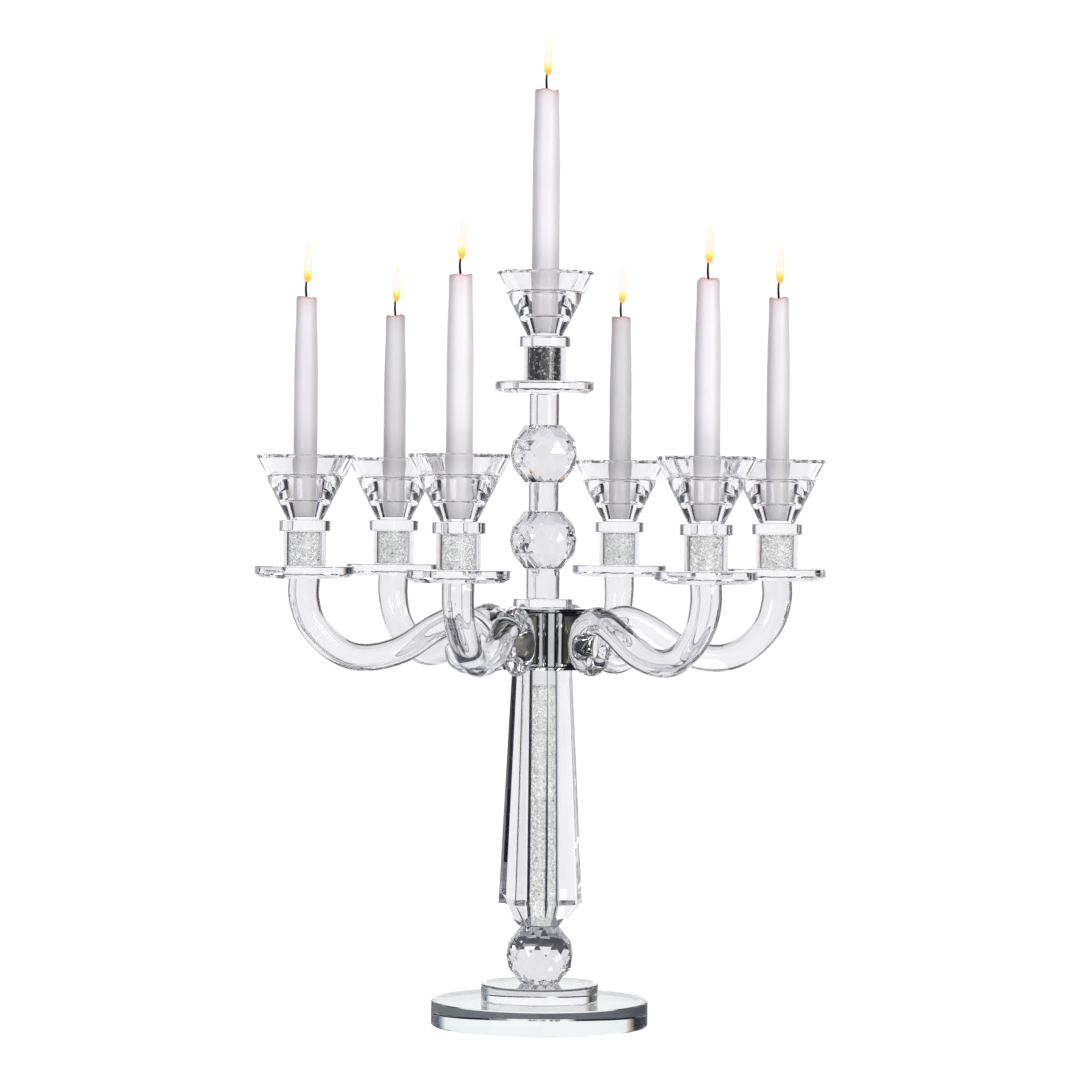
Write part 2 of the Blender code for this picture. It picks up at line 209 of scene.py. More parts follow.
def chips_material(name, tone, glow, painted_glint):
    """Crushed crystal: every chip has its own pale grey, its faces glitter, the palest chips carry painted
    glints, and a painted glow stands for the light that passes through it."""
    material, tree, shader = new_material(name)
    colour = ramp(
        tree,
        attribute(tree, "chip_shade"),
        (
            (0.00, (0.30 * tone,) * 3),
            (0.04, (0.72 * tone, 0.73 * tone, 0.71 * tone)),
            (0.30, (0.84 * tone, 0.85 * tone, 0.83 * tone)),
            (0.80, (0.93 * tone, 0.94 * tone, 0.92 * tone)),
            # Painted glints: the palest chips turn bright.
            (1.00, (1.00 * painted_glint, 1.00 * painted_glint, 0.98 * painted_glint)),
        ),
    )
    tree.links.new(colour, shader.inputs["Base Color"])
    # Painted light: the chips glow with their own colour.
    tree.links.new(colour, shader.inputs["Emission Color"])
    set_inputs(shader, Emission_Strength=glow, Metallic=0.2, Roughness=0.12, IOR=1.6)
    bump(tree, shader, noise(tree, 900.0, 2.0), 0.3, 0.3 * MM)
    return material


def chrome_material():
    """Polished chrome with a little polishing haze."""
    material, tree, shader = new_material("chrome_look")
    set_inputs(shader, Metallic=1.0)
    cloud = noise(tree, 60.0, 3.0)
    colour = drift(tree, cloud, (0.60, 0.61, 0.62), (0.70, 0.71, 0.71))
    tree.links.new(colour, shader.inputs["Base Color"])
    haze = drift(tree, cloud, (0.03,) * 3, (0.07,) * 3)
    tree.links.new(haze, shader.inputs["Roughness"])
    return material


def pad_material():
    """Brushed olive-grey metal of the bonding pads."""
    material, tree, shader = new_material("pad_look")
    set_inputs(shader, Metallic=0.8, Roughness=0.3)
    cloud = noise(tree, 120.0, 3.0)
    colour = drift(tree, cloud, (0.13, 0.13, 0.10), (0.22, 0.22, 0.17))
    tree.links.new(colour, shader.inputs["Base Color"])
    bump(tree, shader, cloud, 0.3, 0.4 * MM)
    return material


def shadow_gap_material():
    """Painted shadow: near black, for the hub's seams and round its pads."""
    material, tree, shader = new_material("shadow_gap_look")
    colour = drift(tree, noise(tree, 200.0, 3.0), (0.006,) * 3, (0.014, 0.014, 0.017))
    tree.links.new(colour, shader.inputs["Base Color"])
    set_inputs(shader, Roughness=0.35, Specular_IOR_Level=0.25)
    return material


def wax_material():
    """White candle wax, a little translucent, pink where the rim has melted, with a faint painted glow on
    its foot.
    """
    material, tree, shader = new_material("wax_look")
    body = drift(tree, noise(tree, 45.0, 3.0), (0.90, 0.89, 0.90), (0.94, 0.93, 0.94))
    colour = mix_colours(tree, attribute(tree, "melt"), body, (0.80, 0.46, 0.46))
    tree.links.new(colour, shader.inputs["Base Color"])
    # Painted light: the foot of the taper glows faintly.
    glow = ramp(tree, attribute(tree, "foot"), ((0.0, BLACK), (1.0, (0.14, 0.14, 0.145))))
    tree.links.new(glow, shader.inputs["Emission Color"])
    set_inputs(shader, Emission_Strength=1.0, Roughness=0.42)
    set_inputs(shader, Subsurface_Weight=0.25, Subsurface_Radius=(0.006, 0.004, 0.004), Subsurface_Scale=1.0)
    bump(tree, shader, noise(tree, 160.0, 2.0), 0.15, 0.4 * MM)
    return material


def wick_material():
    """Charred cotton, with a red-brown glow at the tip."""
    material, tree, shader = new_material("wick_look")
    colour = ramp(
        tree,
        attribute(tree, "melt"),
        ((0.0, (0.004, 0.004, 0.004)), (0.6, (0.01, 0.005, 0.005)), (1.0, (0.20, 0.02, 0.01))),
    )
    tree.links.new(colour, shader.inputs["Base Color"])
    set_inputs(shader, Roughness=0.9, Specular_IOR_Level=0.1)
    bump(tree, shader, noise(tree, 2500.0, 2.0), 0.6, 0.2 * MM)
    return material


def flame_material():
    """A candle flame: amber round the wick, then yellow, with a pale thin-edged upper half."""
    material, tree, shader = new_material("flame_look")
    height = attribute(tree, "melt")
    core = ramp(
        tree,
        height,
        (
            (0.00, (1.00, 0.62, 0.20)),
            (0.12, (1.00, 0.54, 0.13)),
            (0.22, (1.00, 0.64, 0.14)),
            (0.31, (1.00, 0.92, 0.24)),
            (0.42, (1.00, 0.95, 0.84)),
            (1.00, (1.00, 0.97, 0.88)),
        ),
    )
    rim = ramp(
        tree,
        height,
        (
            (0.00, (1.00, 0.66, 0.24)),
            (0.20, (1.00, 0.66, 0.18)),
            (0.35, (1.00, 0.84, 0.20)),
            (0.75, (1.00, 0.86, 0.40)),
            (1.00, (1.00, 0.92, 0.60)),
        ),
    )
    facing = add_node(tree, "ShaderNodeLayerWeight", Blend=0.5)
    edge = ramp(tree, facing.outputs["Facing"], ((0.35, BLACK), (0.85, WHITE)))
    tree.links.new(mix_colours(tree, edge, core, rim), shader.inputs["Emission Color"])
    set_inputs(shader, Base_Color=(*BLACK, 1.0), Specular_IOR_Level=0.0, Emission_Strength=1.0)
    return material


def floor_material():
    """A tabletop that looks white, and that the glass standing on it mirrors as slate beyond the foot; under
    the foot a painted glow brightens it.
    """
    material, tree, shader = new_material("floor_look")
    pale_until, slate_from = 80.0 * MM, 92.0 * MM
    place = add_node(tree, "ShaderNodeTexCoord")
    reach = add_node(tree, "ShaderNodeVectorMath", operation="LENGTH")
    tree.links.new(place.outputs["Object"], reach.inputs[0])
    distance = reach.outputs["Value"]
    shade = ramp(tree, distance, ((pale_until, (0.80, 0.80, 0.81)), (slate_from, (0.10, 0.125, 0.15))))
    tree.links.new(shade, shader.inputs["Base Color"])
    # Painted light: the tabletop under the foot glows faintly.
    lit = ramp(tree, distance, ((pale_until, (0.32, 0.32, 0.33)), (slate_from, BLACK)))
    tree.links.new(lit, shader.inputs["Emission Color"])
    set_inputs(shader, Roughness=0.6, Emission_Strength=1.0)
    white = add_node(tree, "ShaderNodeEmission", Strength=BACKDROP_STRENGTH)
    swap_for_rays(tree, "Is Camera Ray", shader.outputs["BSDF"], white.outputs["Emission"])
    return material


# ---------------------------------------------------------------- mesh helpers


def mesh_object(name, vertices, faces, material, crease=None):
    """An object from vertices and faces, smooth except at edges sharper than the crease, in degrees."""
    mesh = bpy.data.meshes.new(name)
    mesh.from_pydata(vertices, [], faces)
    mesh.update()
    if crease:
        mesh.shade_smooth()
        mesh.set_sharp_from_angle(angle=math.radians(crease))
    obj = bpy.data.objects.new(name, mesh)
    bpy.context.scene.collection.objects.link(obj)
    mesh.materials.append(material)
    return obj


def store_values(obj, name, domain, values):
    """Stores one number per vertex or face of the mesh under that name."""
    data = obj.data.attributes.new(name, "FLOAT", domain)
    data.data.foreach_set("value", values)


def tube_faces(rows, count, start=0, lid=True):
    """Faces of a tube over rows of vertices that begin at the start index: its wall, its bottom, its lid."""
    faces = []
    for row in range(rows - 1):
        low, high = start + row * count, start + (row + 1) * count
        for i in range(count):
            j = (i + 1) % count
            faces.append([low + i, low + j, high + j, high + i])
    faces.append([start + count - 1 - i for i in range(count)])
    if lid:
        faces.append([start + (rows - 1) * count + i for i in range(count)])
    return faces


def circle_radius(radius):
    """A round level: the same radius all round."""
    return lambda angle: radius


def cut_radius(radius, sides):
    """A flat-sided level whose corners lie at the radius."""
    half = math.pi / sides

    def at(angle):
        off = angle % (2.0 * half) - half
        return radius * math.cos(half) / math.cos(off)

    return at


def fluted_radius(radius, sides, depth):
    """A level whose cuts bow outwards by the depth between cusps at the radius."""
    half = math.pi / sides

    def at(angle):
        off = ((angle % (2.0 * half)) - half) / half
        return radius + depth * (1.0 - off * off)

    return at


def radius_function(radius):
    """The radius as a function of the angle."""
    return radius if callable(radius) else circle_radius(radius)


def turned(name, levels, material, place, ring=False, crease=8.0):
    """A closed body at the place through the levels (radius or radius function, height).
    A radius of 0 makes a pole. With ring, the last level joins the first."""
    steps = ROUND_STEPS
    vertices, rows, faces = [], [], []
    for radius, height in levels:
        if radius == 0:
            rows.append([len(vertices)] * steps)
            vertices.append((place[0], place[1], place[2] + height))
            continue
        at = radius_function(radius)
        rows.append(list(range(len(vertices), len(vertices) + steps)))
        for i in range(steps):
            angle = 2.0 * math.pi * i / steps
            r = at(angle)
            vertices.append(
                (place[0] + r * math.cos(angle), place[1] + r * math.sin(angle), place[2] + height)
            )
    for low, high in list(zip(rows, rows[1:])) + ([(rows[-1], rows[0])] if ring else []):
        for i in range(steps):
            j = (i + 1) % steps
            corners = [low[i], low[j], high[j], high[i]]
            faces.append([c for n, c in enumerate(corners) if c not in corners[:n]])
    return mesh_object(name, vertices, faces, material, crease)


def between(first, second, share):
    """The level that lies at that share of the way from the first level to the second."""
    at_first, at_second = radius_function(first[0]), radius_function(second[0])

    def at(angle):
        return (1.0 - share) * at_first(angle) + share * at_second(angle)

    return at, (1.0 - share) * first[1] + share * second[1]


def held_flat(levels, margin):
    """The levels with two more in each long wall, so that smooth shading bends only at its ends."""
    result = [levels[0]]
    for first, second in zip(levels, levels[1:]):
        if first[0] != 0 and second[0] != 0:
            run = radius_function(second[0])(0.0) - radius_function(first[0])(0.0)
            length = math.hypot(run, second[1] - first[1])
            if length > 5.0 * margin:
                result.append(between(first, second, margin / length))
                result.append(between(first, second, 1.0 - margin / length))
        result.append(second)
    return result


def base_of(node):
    """The middle of a CAD node's underside."""
    low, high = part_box(node)
    return Vector(((low.x + high.x) / 2.0, (low.y + high.y) / 2.0, low.z))


def size_of(node):
    """The CAD node's extents."""
    low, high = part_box(node)
    return high - low


def place_piece(obj, body, slot, *nodes):
    """Fastens a finished piece to its body and hides the CAD nodes that it stands for; the slot is not used.
    """
    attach(obj, body)
    if nodes:
        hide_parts(*nodes)


def chamfered(radius, height, edge):
    """Levels of a round disc or rod with a small polished chamfer."""
    return (
        (0, 0.0),
        (radius - edge, 0.0),
        (radius, edge),
        (radius, height - edge),
        (radius - edge, height),
        (0, height),
    )


# ---------------------------------------------------------------- glass pieces


def add_disc(name, node, material, edge):
    """A round glass disc, plate or rod in place of a CAD node, at the node's own size."""
    size = size_of(node)
    obj = turned(name, chamfered(size.x / 2.0, size.z, edge), material, place=base_of(node))
    place_piece(obj, "stand", "cut_crystal", node)


def add_column(material):
    """The eight-sided tapered column with its long bore."""
    sides = 8
    foot, shoulder, neck, bore = 17.3 * MM, 34.3 * MM, 24.7 * MM, 10.0 * MM
    shoulder_height, bore_floor = 18.4 * MM, 2.5 * MM
    height = size_of("column").z
    levels = (
        (0, 0.0),
        (cut_radius(foot, sides), 0.0),
        (cut_radius(shoulder, sides), shoulder_height),
        (cut_radius(neck, sides), height),
        (bore, height),
        (bore, bore_floor),
        (0, bore_floor),
    )
    obj = turned("column_glass", levels, material, place=base_of("column"))
    place_piece(obj, "stand", "cut_crystal", "column")


def polish_edges(node, width):
    """Narrow polished edges on a CAD node that keeps its shape."""
    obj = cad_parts[node]
    weld = obj.modifiers.new("weld", "WELD")
    weld.merge_threshold = 0.01 * MM
    edge = obj.modifiers.new("polished edges", "BEVEL")
    edge.width = width
    edge.segments = 1
    edge.limit_method = "ANGLE"
    edge.angle_limit = math.radians(8.0)


def use_material(node, material):
    """Gives a kept CAD node its look."""
    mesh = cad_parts[node].data
    mesh.materials.clear()
    mesh.materials.append(material)


def add_pan(suffix, material):
    """A drip pan: 24 cuts slope up from its foot to a round band."""
    node = f"drip_pan_{suffix}"
    cuts, steps_per_cut = 24, 6
    rim, foot, bevel, edge = 40.0 * MM, 34.0 * MM, 3.4 * MM, 0.5 * MM
    height = size_of(node).z
    steps = cuts * steps_per_cut
    half = math.pi / cuts
    slope = bevel / (rim - foot)
    vertices = []
    x0, y0, z0 = base_of(node)

    def add_row(radius_at, height_at):
        for i in range(steps):
            angle = 2.0 * math.pi * i / steps
            r = radius_at(angle)
            vertices.append((x0 + r * math.cos(angle), y0 + r * math.sin(angle), z0 + height_at(angle)))

    def off(angle):
        return angle % (2.0 * half) - half

    add_row(lambda a: foot / math.cos(off(a)), lambda a: 0.0)
    add_row(circle_radius(rim), lambda a: slope * (rim * math.cos(off(a)) - foot))
    add_row(circle_radius(rim), lambda a: height - edge)
    add_row(circle_radius(rim - edge), lambda a: height)
    faces = tube_faces(4, steps)
    obj = mesh_object(f"pan_{suffix}", vertices, faces, material, 8.0)
    place_piece(obj, "stand", "cut_crystal", node)


def add_tube(suffix, material):
    """An open glass tube that holds the crushed crystal."""
    node = f"chip_tube_{suffix}"
    height = size_of(node).z
    outer, bore, edge = 17.0 * MM, 13.0 * MM, 0.3 * MM
    levels = (
        (outer, edge),
        (outer, height - edge),
        (outer - edge, height),
        (bore + edge, height),
        (bore, height - edge),
        (bore, edge),
        (bore + edge, 0.0),
        (outer - edge, 0.0),
    )
    obj = turned(f"tube_{suffix}", levels, material, place=base_of(node), ring=True)
    place_piece(obj, "stand", "cut_crystal", node)


def add_cup(suffix, material):
    """A conical cup: round outside, a dish with 16 hollow cuts, a well and a tapered socket."""
    node = f"cup_{suffix}"
    height = size_of(node).z
    cuts = 16
    levels = (
        (0, 0.0),
        (13.4 * MM, 0.0),
        (14.2 * MM, 0.4 * MM),
        (14.6 * MM, 1.1 * MM),
        (39.3 * MM, 49.5 * MM),
        (39.3 * MM, height - 0.9 * MM),
        (38.9 * MM, height - 0.3 * MM),
        (38.2 * MM, height),
        (fluted_radius(34.4 * MM, cuts, 0.5 * MM), height),
        (27.0 * MM, 38.9 * MM),
        (26.6 * MM, 37.9 * MM),
        (25.8 * MM, 37.3 * MM),
        (24.6 * MM, 37.0 * MM),
        (16.2 * MM, 37.0 * MM),
        (15.4 * MM, 36.8 * MM),
        (14.9 * MM, 36.3 * MM),
        (14.6 * MM, 35.5 * MM),
        (13.9 * MM, 19.2 * MM),
        (13.6 * MM, 18.2 * MM),
        (12.9 * MM, 17.4 * MM),
        (12.0 * MM, 17.0 * MM),
        (10.4 * MM, 17.0 * MM),
        (7.8 * MM, 4.0 * MM),
        (0, 4.0 * MM),
    )
    held = held_flat(levels, 0.4 * MM)
    obj = turned(f"glass_cup_{suffix}", held, material, place=base_of(node), crease=28.0)
    place_piece(obj, "stand", "cut_crystal", node)


# ---------------------------------------------------------------- hub

HUB_APOTHEM = 34.5 * MM
HUB_PLATE = 2.4 * MM
HUB_SEAM = 0.8 * MM


def plan_points(facing, pairs):
    """Plan points from (across, reach) pairs beside a flat or corner that faces that way."""
    outward = Vector((math.cos(facing), math.sin(facing)))
    along = Vector((-math.sin(facing), math.cos(facing)))
    return [outward * reach + along * across for across, reach in pairs]


def hexagon(apothem, corner_half):
    """Plan of a hexagonal prism whose corners are cut to narrow faces."""
    corner = apothem * math.tan(HEX / 2.0) - corner_half / math.cos(HEX / 2.0)
    points = []
    for side in range(6):
        points += plan_points(HEX * side, ((-corner, apothem), (corner, apothem)))
    return points


def hub_panel(side):
    """Plan of a chrome side panel: flat in the middle, with a hollow flute near each end."""
    start, end, depth, back, arc_steps = 15.0 * MM, 9.6 * MM, 1.3 * MM, 3.0 * MM, 10
    flute = []
    for n in range(arc_steps + 1):
        share = n / arc_steps
        flute.append((start + (end - start) * share, HUB_APOTHEM - depth * math.sin(math.pi * share)))
    face = [(-across, reach) for across, reach in flute] + list(reversed(flute))
    return plan_points(HEX * side, face + [(start, HUB_APOTHEM - back), (-start, HUB_APOTHEM - back)])


def hub_bar(side):
    """Plan of the chrome bar that faces outwards between two panels."""
    half, face, back = 2.4 * MM, 38.7 * MM, 35.0 * MM
    return plan_points(HEX * (side + 0.5), ((-half, face), (half, face), (half, back), (-half, back)))


def prisms(name, outlines, low, high, edge, material):
    """Upright prisms over the outlines, with a narrow polished edge above and below."""
    vertices, faces = [], []
    for outline in outlines:
        count = len(outline)
        start = len(vertices)
        for z, shrink in ((low, edge), (low + edge, 0.0), (high - edge, 0.0), (high, edge)):
            for point in outline:
                held = point * (1.0 - shrink / point.length)
                vertices.append((held.x, held.y, z))
        faces.extend(tube_faces(4, count, start))
    return mesh_object(name, vertices, faces, material, 25.0)


def block_on_flat(name, side, half_width, half_height, reach, edge, material):
    """A thin block that stands on a hub flat, half way up it."""
    low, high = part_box("hub")
    middle = (low.z + high.z) / 2.0
    back = HUB_APOTHEM - 0.7 * MM
    plan = plan_points(
        HEX * side, ((-half_width, reach), (half_width, reach), (half_width, back), (-half_width, back))
    )
    return prisms(name, [plan], middle - half_height, middle + half_height, edge, material)


def add_hub(chrome, pad_finish, shadow_gap):
    """The hub: a core painted black as the shadow in its seams, chrome side panels and corner bars, two
    plates, six bonding pads framed by painted shadow.
    """
    low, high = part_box("hub")
    inner_low, inner_high = low.z + HUB_PLATE, high.z - HUB_PLATE
    polish, dark_edge = 0.3 * MM, 0.1 * MM
    # Painted shadow: a near-black core that shows through the seams.
    core_plan = hexagon(33.2 * MM, 2.3 * MM)
    core = prisms("hub_shadow_core", [core_plan], inner_low, inner_high, dark_edge, shadow_gap)
    place_piece(core, "stand", None)
    outlines = [hub_panel(side) for side in range(6)] + [hub_bar(side) for side in range(6)]
    body = prisms("hub_body", outlines, inner_low + HUB_SEAM, inner_high - HUB_SEAM, polish, chrome)
    place_piece(body, "stand", "chrome", "hub")
    plate_plan = hexagon(35.2 * MM, 2.4 * MM)
    for name, z in (("hub_plate_bottom", low.z), ("hub_plate_top", inner_high)):
        place_piece(prisms(name, [plate_plan], z, z + HUB_PLATE, polish, chrome), "stand", "chrome")
    pad_half_width, pad_half_height, rim = 7.6 * MM, 18.9 * MM, 1.0 * MM
    frame_reach, pad_reach = HUB_APOTHEM + 0.4 * MM, HUB_APOTHEM + 1.7 * MM
    for side in range(6):
        # Painted shadow: a near-black frame round each pad.
        shadow_frame = block_on_flat(
            f"hub_shadow_frame_{side + 1}",
            side,
            pad_half_width + rim,
            pad_half_height + rim,
            frame_reach,
            dark_edge,
            shadow_gap,
        )
        place_piece(shadow_frame, "stand", None)
        pad = block_on_flat(
            f"hub_pad_{side + 1}", side, pad_half_width, pad_half_height, pad_reach, polish, pad_finish
        )
        place_piece(pad, "stand", "chrome")


# ---------------------------------------------------------------- arms


def spline_points(points, steps):
    """Points along a smooth curve through the given ones, which may have any number of values."""
    padded = [points[0]] + list(points) + [points[-1]]
    result = []
    for i in range(1, len(padded) - 2):
        p0, p1, p2, p3 = padded[i - 1 : i + 3]
        for step in range(steps):
            t = step / steps
            result.append(
                tuple(
                    0.5
                    * (
                        2.0 * b
                        + (c - a) * t
                        + (2.0 * a - 5.0 * b + 4.0 * c - d) * t * t
                        + (3.0 * b - a - 3.0 * c + d) * t * t * t
                    )
                    for a, b, c, d in zip(p0, p1, p2, p3)
                )
            )
    result.append(tuple(points[-1]))
    return result


def add_arm(number, material):
    """A bent glass rod: down from its pan, in to the hub, over a hump and into a thinning scroll."""
    node = f"arm_{number}"
    phase = random.Random(100 + number).uniform(0.0, 6.28)
    azimuth = HEX * (number - 1)
    outward = Vector((math.cos(azimuth), math.sin(azimuth), 0.0))
    sideways = Vector((-math.sin(azimuth), math.cos(azimuth), 0.0))
    up = Vector((0.0, 0.0, 1.0))
    line = spline_points(ARM_POINTS, ARM_STEPS_PER_BEND)
    vertices = []
    count = len(line)
    for i, (reach, height, thickness) in enumerate(line):
        before, after = line[max(0, i - 1)], line[min(count - 1, i + 1)]
        along = Vector((after[0] - before[0], after[1] - before[1])).normalized()
        if i == 0:
            along = Vector((0.0, -1.0))
        across = outward * along.y - up * along.x
        middle = outward * reach + up * height
        unevenness = 0.008 * math.sin(0.21 * i + phase)
        radius = ARM_ROD_RADIUS * thickness * (1.0 + unevenness)
        for k in range(ARM_SIDES):
            turn = 2.0 * math.pi * k / ARM_SIDES
            vertices.append(middle + radius * (math.cos(turn) * across + math.sin(turn) * sideways))
    faces = tube_faces(count, ARM_SIDES, lid=False)
    last = (count - 1) * ARM_SIDES
    tip = len(vertices)
    tip_reach, tip_height, _ = line[-1]
    vertices.append(outward * (tip_reach - 0.2 * MM) + up * (tip_height + 1.2 * MM))
    for k in range(ARM_SIDES):
        faces.append([last + k, last + (k + 1) % ARM_SIDES, tip])
    obj = mesh_object(f"bent_arm_{number}", vertices, faces, material, 60.0)
    place_piece(obj, "stand", "rod_glass", node)


# ---------------------------------------------------------------- crushed crystal

CHIP_SIZE = 1.3 * MM

# A chip's faces, by the corners they join.
OCTAHEDRON = ((0, 2, 4), (2, 1, 4), (1, 3, 4), (3, 0, 4), (2, 0, 5), (1, 2, 5), (3, 1, 5), (0, 3, 5))


def chip_corners(draws, size):
    """Corners of one chip: a squeezed, skewed octahedron."""
    corners = []
    for axis in (Vector((1, 0, 0)), Vector((0, 1, 0)), Vector((0, 0, 1))):
        for sign in (1.0, -1.0):
            stretch = draws.uniform(0.45, 1.0) * size
            jitter = Vector([draws.uniform(-0.25, 0.25) * size for _ in range(3)])
            corners.append(axis * sign * stretch + jitter)
    spin = (
        Matrix.Rotation(draws.uniform(0, 2 * math.pi), 3, "Z")
        @ Matrix.Rotation(draws.uniform(0, math.pi), 3, "X")
        @ Matrix.Rotation(draws.uniform(0, 2 * math.pi), 3, "Z")
    )
    return [spin @ corner for corner in corners]


def add_chips(name, node, count, seed, material):
    """Crushed crystal: chips packed round a core, inside the CAD node's own cylinder."""
    draws = random.Random(seed)
    low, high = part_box(node)
    centre = (low + high) / 2.0
    limit = (high.x - low.x) / 2.0
    height = high.z - low.z
    vertices, faces, shades = [], [], []

    def keep_inside(point):
        across = Vector((point.x, point.y))
        if across.length > limit:
            across *= limit / across.length
        z = min(max(point.z, 0.0), height)
        return (centre.x + across.x, centre.y + across.y, low.z + z)

    for _ in range(count):
        angle = draws.uniform(0.0, 2.0 * math.pi)
        scale = CHIP_SIZE * draws.uniform(0.7, 1.3)
        out = limit - scale * draws.uniform(0.35, 1.1)
        middle = Vector((out * math.cos(angle), out * math.sin(angle), draws.uniform(0.0, height)))
        start = len(vertices)
        vertices.extend(keep_inside(middle + corner) for corner in chip_corners(draws, scale))
        shade = draws.random()
        # Painted shade: most chips of the top layer are darkened, as if in shadow under a lid.
        if middle.z > height - CHIP_SIZE and draws.random() < 0.7:
            shade *= 0.03
        for face in OCTAHEDRON:
            faces.append([start + corner for corner in face])
            shades.append(shade)
    core_sides = 24
    core = limit - 1.1 * CHIP_SIZE
    inset = 0.3 * CHIP_SIZE
    faces.extend(tube_faces(2, core_sides, len(vertices)))
    for z in (inset, height - inset):
        for i in range(core_sides):
            angle = 2.0 * math.pi * i / core_sides
            x, y = centre.x + core * math.cos(angle), centre.y + core * math.sin(angle)
            vertices.append((x, y, low.z + z))
    shades.extend([0.3] * (core_sides + 2))
    obj = mesh_object(name, vertices, faces, material)
    store_values(obj, "chip_shade", "FACE", shades)
    place_piece(obj, "stand", "crushed_crystal", node)


# ---------------------------------------------------------------- candles

WICK_HEIGHT = 14.0 * MM

# Share of a flame's height, and its half width there as a share of the widest.
FLAME_PROFILE = (
    (0.00, 0.30),
    (0.04, 0.62),
    (0.10, 0.84),
    (0.20, 0.97),
    (0.30, 1.00),
    (0.45, 0.98),
    (0.60, 0.88),
    (0.75, 0.68),
    (0.88, 0.42),
    (0.96, 0.20),
    (1.00, 0.04),
)


def add_rod(name, line, sides, material, body):
    """A thin upright rod along (middle, radius) pairs, closed at both ends."""
    vertices, values = [], []
    for n, (middle, radius) in enumerate(line):
        for k in range(sides):
            turn = 2.0 * math.pi * k / sides
            vertices.append(middle + Vector((radius * math.cos(turn), radius * math.sin(turn), 0.0)))
            values.append(n / (len(line) - 1.0))
    obj = mesh_object(name, vertices, tube_faces(len(line), sides), material, 50.0)
    store_values(obj, "melt", "POINT", values)
    place_piece(obj, body, None)


def taper_profile(radius, length):
    """Rings of a taper: radius, height, how lumpy the ring is, and how much its wax has melted."""
    top = radius - 1.4 * MM
    return (
        (6.6 * MM, 0.0, 0.0, 0.0),
        (7.4 * MM, 0.8 * MM, 0.0, 0.0),
        (min(10.0 * MM, radius), 13.0 * MM, 0.0, 0.0),
        (radius, 16.0 * MM, 0.0, 0.0),
        (radius, 32.0 * MM, 0.0, 0.0),
        (radius, 40.0 * MM, 0.0, 0.0),
        (radius, 50.0 * MM, 0.0, 0.0),
        (radius, length - 60.0 * MM, 0.0, 0.0),
        (radius - 0.7 * MM, length - 30.0 * MM, 0.0, 0.0),
        (top + 0.25 * MM, length - 18.0 * MM, 0.0, 0.0),
        (top + 0.20 * MM, length - 9.0 * MM, 0.0, 0.12),
        (top + 0.15 * MM, length - 4.2 * MM, 0.15, 0.30),
        (top + 0.15 * MM, length - 2.8 * MM, 0.5, 0.55),
        (top - 0.05 * MM, length - 1.9 * MM, 0.8, 0.85),
        (top - 0.7 * MM, length - 1.2 * MM, 1.0, 1.0),
        (top - 1.7 * MM, length - 1.1 * MM, 1.0, 0.9),
        (top - 2.9 * MM, length - 1.7 * MM, 0.7, 0.7),
        (4.2 * MM, length - 2.4 * MM, 0.3, 0.5),
        (2.0 * MM, length - 2.7 * MM, 0.0, 0.3),
    )


def add_taper(suffix, draws, material):
    """A taper of wax with a lumpy, melted rim round a shallow pool."""
    node = f"candle_{suffix}"
    low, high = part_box(node)
    x0, y0, z0 = base_of(node)
    steps = 64
    lump, glow_top, glow_fade = 0.63 * MM, 50.0 * MM, 14.0 * MM
    waves = [(draws.uniform(0, 6.28), draws.uniform(0.3, 1.0)) for _ in range(4)]
    profile = taper_profile((high.x - low.x) / 2.0, high.z - low.z - WICK_HEIGHT)
    vertices, melt, foot = [], [], []
    for radius, z, swell, melted in profile:
        for i in range(steps):
            angle = 2.0 * math.pi * i / steps
            wave = sum(size * math.cos((n + 1) * angle + phase) for n, (phase, size) in enumerate(waves))
            height = z + swell * lump * wave
            vertices.append((x0 + radius * math.cos(angle), y0 + radius * math.sin(angle), z0 + height))
            melt.append(melted)
            # Painted light: how strongly the foot glows, fading out above glow_top.
            foot.append(min(1.0, max(0.0, (glow_top - z) / glow_fade)))
    faces = tube_faces(len(profile), steps)
    obj = mesh_object(f"taper_{suffix}", vertices, faces, material, 50.0)
    store_values(obj, "melt", "POINT", melt)
    store_values(obj, "foot", "POINT", foot)
    place_piece(obj, node, "wax", node)


def wick_line(foot, top, draws):
    """Middle points and radii of a curved wick, from its foot in the wax to its top's height."""
    lean = draws.uniform(-0.6, 0.6)
    bend = draws.uniform(0.8, 1.3) * MM
    steps = 12
    line = []
    for i in range(steps + 1):
        t = i / steps
        offset = bend * (math.sin(2.6 * t) - 0.55 * t)
        height = foot.z + (top - foot.z) * t
        middle = Vector((foot.x - offset * math.cos(lean), foot.y - offset * math.sin(lean), height))
        line.append((middle, 0.95 * MM * (1.0 - 0.25 * t * t)))
    return line


def flame_line(base, height):
    """Middle points and radii of a slim flame that leans a little, widest below its middle."""
    lean, half_width = 1.2 * MM, 3.3 * MM
    line = []
    for share, width in spline_points(FLAME_PROFILE, 4):
        middle = base + Vector((lean * share * share, 0.0, height * share))
        line.append((middle, half_width * max(width, 0.02)))
    return line


def add_candle(suffix, wax, char, fire, seed):
    """A lit candle, whose taper, wick and flame all ride on the candle's own body."""
    body = f"candle_{suffix}"
    draws = random.Random(seed)
    add_taper(suffix, draws, wax)
    foot = base_of(body)
    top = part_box(body)[1].z
    foot.z = top - WICK_HEIGHT - 2.6 * MM
    wick = wick_line(foot, top, draws)
    add_rod(f"wick_{suffix}", wick, 12, char, body)
    tip = wick[-1][0]
    base = Vector((tip.x + 0.5 * MM, tip.y, top - 3.0 * MM))
    flame = flame_line(base, draws.uniform(32.0, 33.0) * MM)
    add_rod(f"flame_{suffix}", flame, 24, fire, body)


# ---------------------------------------------------------------- studio

PALE = (0.80, 0.80, 0.82)
GREY = (0.03, 0.03, 0.045)
NAVY = (0.008, 0.008, 0.022)

